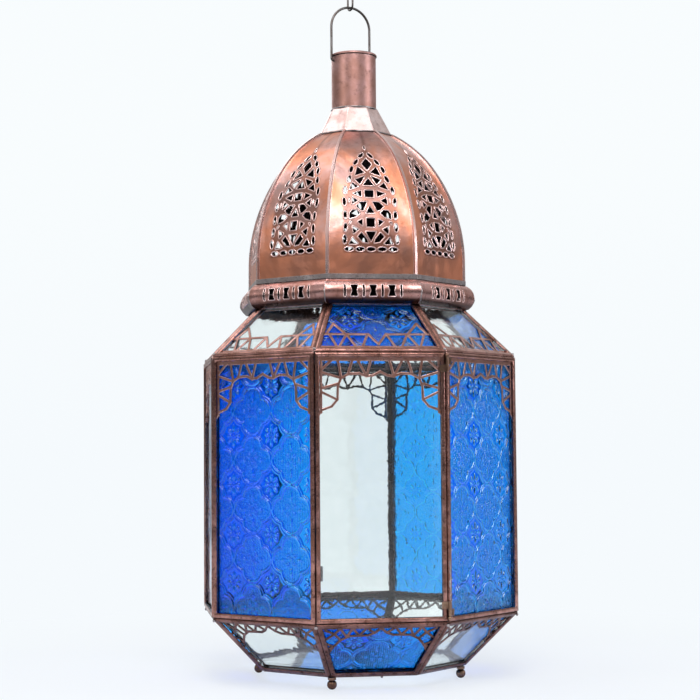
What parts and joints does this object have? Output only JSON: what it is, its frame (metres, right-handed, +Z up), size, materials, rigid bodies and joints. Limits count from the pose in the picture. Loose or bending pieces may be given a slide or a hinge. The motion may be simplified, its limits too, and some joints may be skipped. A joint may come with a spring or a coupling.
{
  "type": "hanging lantern",
  "caption": "Eight-sided glazed metal lantern with a pierced ribbed dome, a neck with a wire bail, a hinged front panel and small ball feet.",
  "frame": {"origin": "centre of the base, on the plane under the ball feet", "axes": "+Z up along the lantern's axis, -Y out through the hinged front panel, +X to the right seen from the front"},
  "size_m": [0.3048, 0.3078, 0.7104],
  "materials": {
    "copper_channel": "aged copper-plated channel, worn bright on the rounded fronts",
    "copper_fretwork": "cut copper sheet, satin with darker edges",
    "copper_sheet": "rubbed pinkish copper sheet, satin",
    "solder": "dull grey solder",
    "brass_fittings": "turned, tarnished",
    "dark_wire": "dark drawn wire",
    "blue_glass": "pressed cobalt glass",
    "clear_glass": "clear glass"
  },
  "bodies": {
    "lantern": {"ball_foot_1": "brass_fittings", "ball_foot_2": "brass_fittings", "ball_foot_3": "brass_fittings", "ball_foot_4": "brass_fittings", "candle_cup": "brass_fittings", "collar": "copper_sheet", "dome_band": "solder", "dome_gore_0": "copper_sheet", "dome_gore_1": "copper_sheet", "dome_gore_2": "copper_sheet", "dome_gore_3": "copper_sheet", "dome_gore_4": "copper_sheet", "dome_gore_5": "copper_sheet", "dome_gore_6": "copper_sheet", "dome_gore_7": "copper_sheet", "dome_ribs": "copper_sheet", "door_stops": "solder", "floor_frame": "copper_channel", "floor_glass": "clear_glass", "frame_knuckles": "brass_fittings", "hinge_pins": "brass_fittings", "lower_frames": "copper_channel", "lower_fretwork": "copper_fretwork", "lower_glass_blue": "blue_glass", "lower_glass_clear": "clear_glass", "neck_tube": "copper_sheet", "ring_seat": "copper_sheet", "ring_segments": "copper_sheet", "roof_frames": "copper_channel", "roof_fretwork": "copper_fretwork", "roof_glass_blue": "blue_glass", "roof_glass_clear": "clear_glass", "wall_frame_1": "copper_channel", "wall_frame_2": "copper_channel", "wall_frame_3": "copper_channel", "wall_frame_4": "copper_channel", "wall_frame_5": "copper_channel", "wall_frame_6": "copper_channel", "wall_frame_7": "copper_channel", "wall_fretwork": "copper_fretwork", "wall_glass_1": "blue_glass", "wall_glass_2": "clear_glass", "wall_glass_3": "blue_glass", "wall_glass_4": "clear_glass", "wall_glass_5": "blue_glass", "wall_glass_6": "clear_glass", "wall_glass_7": "blue_glass"},
    "door": {"door_frame": "copper_channel", "door_glass": "clear_glass", "door_fretwork": "copper_fretwork", "door_knuckles": "brass_fittings"},
    "bail": {"bail": "dark_wire"},
    "hanging_link": {"hanging_link": "dark_wire"}
  },
  "joints": [
    {"name": "door_hinge", "type": "hinge", "parent": "lantern", "child": "door", "pos_m": [0.06356, -0.15345, 0.1933], "axis": [0, 0, 1], "range_deg": [0, 110]},
    {"name": "bail_swing", "type": "hinge", "parent": "lantern", "child": "bail", "pos_m": [0, 0, 0.6297], "axis": [-0.9438, -0.3305, 0], "range_deg": [-42, 42]},
    {"name": "link_swing", "type": "hinge", "parent": "bail", "child": "hanging_link", "pos_m": [-0.00326, -0.00114, 0.68695], "axis": [-0.9438, -0.3305, 0], "range_deg": [-75, 75]}
  ]
}
